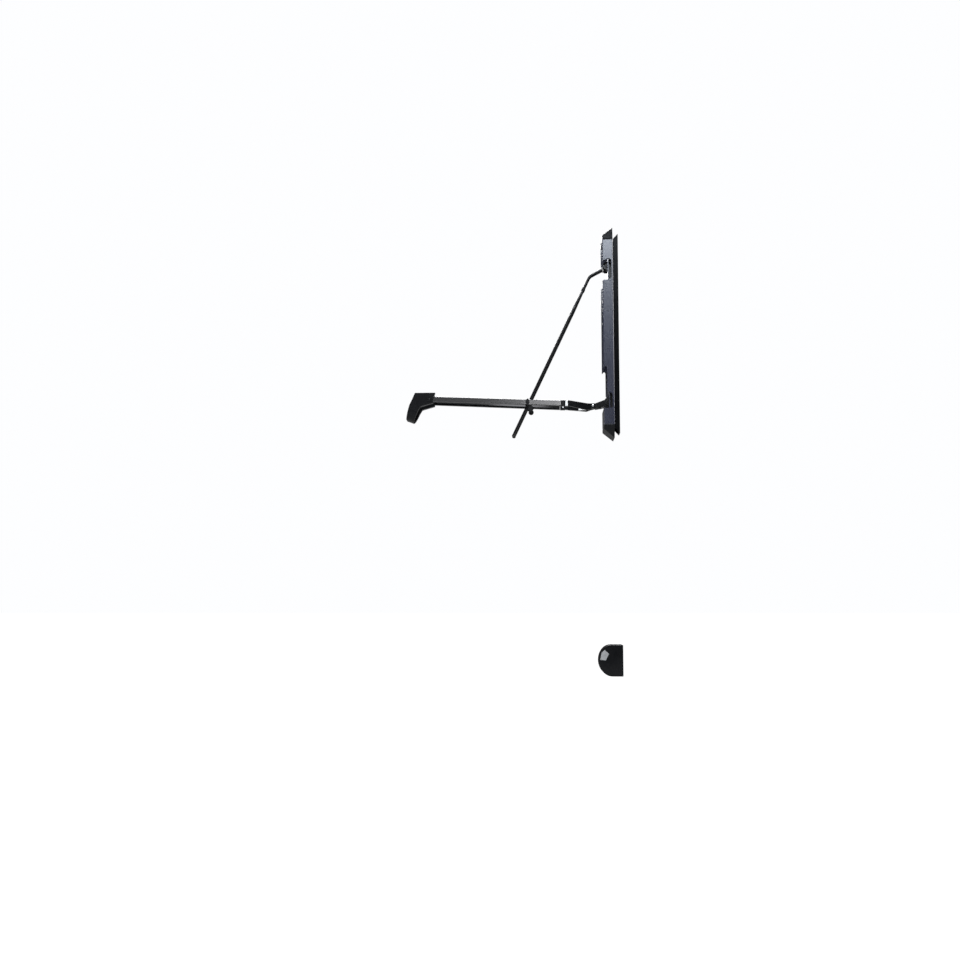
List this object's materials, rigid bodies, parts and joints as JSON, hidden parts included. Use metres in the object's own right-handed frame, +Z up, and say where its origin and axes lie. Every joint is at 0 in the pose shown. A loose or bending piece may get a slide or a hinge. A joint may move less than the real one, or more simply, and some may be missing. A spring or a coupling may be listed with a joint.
{
  "type": "folding wall bike rack",
  "caption": "Folding wall rack that holds a bike upright by one wheel: square bars with an end cradle, a leaning rod loop, a swivelling housing and a tyre rest below.",
  "frame": {"origin": "centre of the wall plate's back face, half way up the housing, in the wall plane", "axes": "+Z up, +Y into the wall (the arms reach out along -Y), +X to the right of a person who faces the wall"},
  "size_m": [0.104, 0.6478, 1.3559],
  "materials": {
    "satin_shell": "black moulded plastic with a satin gloss",
    "black_plastic": "black moulded plastic, finely grained",
    "black_steel": "black powder coat on steel",
    "grey_bar": "dark grey anodised, satin",
    "white_nylon": "white nylon, smooth",
    "plated_steel": "zinc plated",
    "black_rubber": "soft black rubber"
  },
  "bodies": {
    "wall_mount": {"wall_plate": "black_steel", "upper_swivel_pin": "plated_steel", "lower_swivel_pin": "plated_steel", "upper_swivel_washer": "white_nylon", "lower_swivel_washer": "white_nylon", "upper_left_wall_screw": "plated_steel", "upper_right_wall_screw": "plated_steel", "lower_left_wall_screw": "plated_steel", "lower_right_wall_screw": "plated_steel", "tyre_rest": "black_plastic", "tyre_rest_liner": "black_rubber", "upper_tyre_rest_screw": "plated_steel", "lower_tyre_rest_screw": "plated_steel"},
    "rack_housing": {"housing_shell": "satin_shell", "upper_end_cap": "black_plastic", "lower_end_cap": "black_plastic", "spine": "black_steel", "cover_screw_1": "plated_steel", "cover_screw_2": "plated_steel", "cover_screw_3": "plated_steel", "cover_screw_4": "plated_steel", "upper_arm_pin": "black_steel", "lower_arm_pin": "black_steel", "upper_arm_left_ring": "plated_steel", "upper_arm_right_ring": "plated_steel", "lower_arm_left_ring": "black_steel", "lower_arm_right_ring": "black_steel"},
    "lower_arm": {"lower_arm_yoke": "black_plastic", "left_link": "black_plastic", "right_link": "black_plastic", "left_spacer_ring": "white_nylon", "right_spacer_ring": "white_nylon", "left_bar_socket": "black_plastic", "right_bar_socket": "black_plastic", "left_bar": "grey_bar", "right_bar": "grey_bar", "left_link_screw": "plated_steel", "right_link_screw": "plated_steel", "left_side_guide": "black_plastic", "right_side_guide": "black_plastic", "left_buffer": "black_rubber", "right_buffer": "black_rubber", "end_cradle": "black_plastic", "cradle_pad": "black_rubber", "left_cradle_screw": "black_steel", "right_cradle_screw": "black_steel", "left_link_pad": "white_nylon", "right_link_pad": "white_nylon", "left_socket_screw": "plated_steel", "right_socket_screw": "plated_steel"},
    "upper_arm": {"upper_hub": "black_plastic", "white_ferrule": "white_nylon", "rod_clamp": "black_plastic", "rod_loop": "black_steel", "crossbar_sleeve": "black_rubber"}
  },
  "joints": [
    {"name": "housing_swivel", "type": "hinge", "parent": "wall_mount", "child": "rack_housing", "pos_m": [0, -0.022, 0], "axis": [0, 0, 1], "range_deg": [-18, 18]},
    {"name": "lower_arm_fold", "type": "hinge", "parent": "rack_housing", "child": "lower_arm", "pos_m": [0, -0.033, -0.21], "axis": [-1, 0, 0], "range_deg": [0, 86]},
    {"name": "upper_arm_fold", "type": "hinge", "parent": "rack_housing", "child": "upper_arm", "pos_m": [0, -0.033, 0.21], "axis": [1, 0, 0], "range_deg": [0, 24.5]}
  ],
  "couplings": [
    {"joint": "upper_arm_fold", "follows": "lower_arm_fold", "ratio": 0.2848}
  ]
}
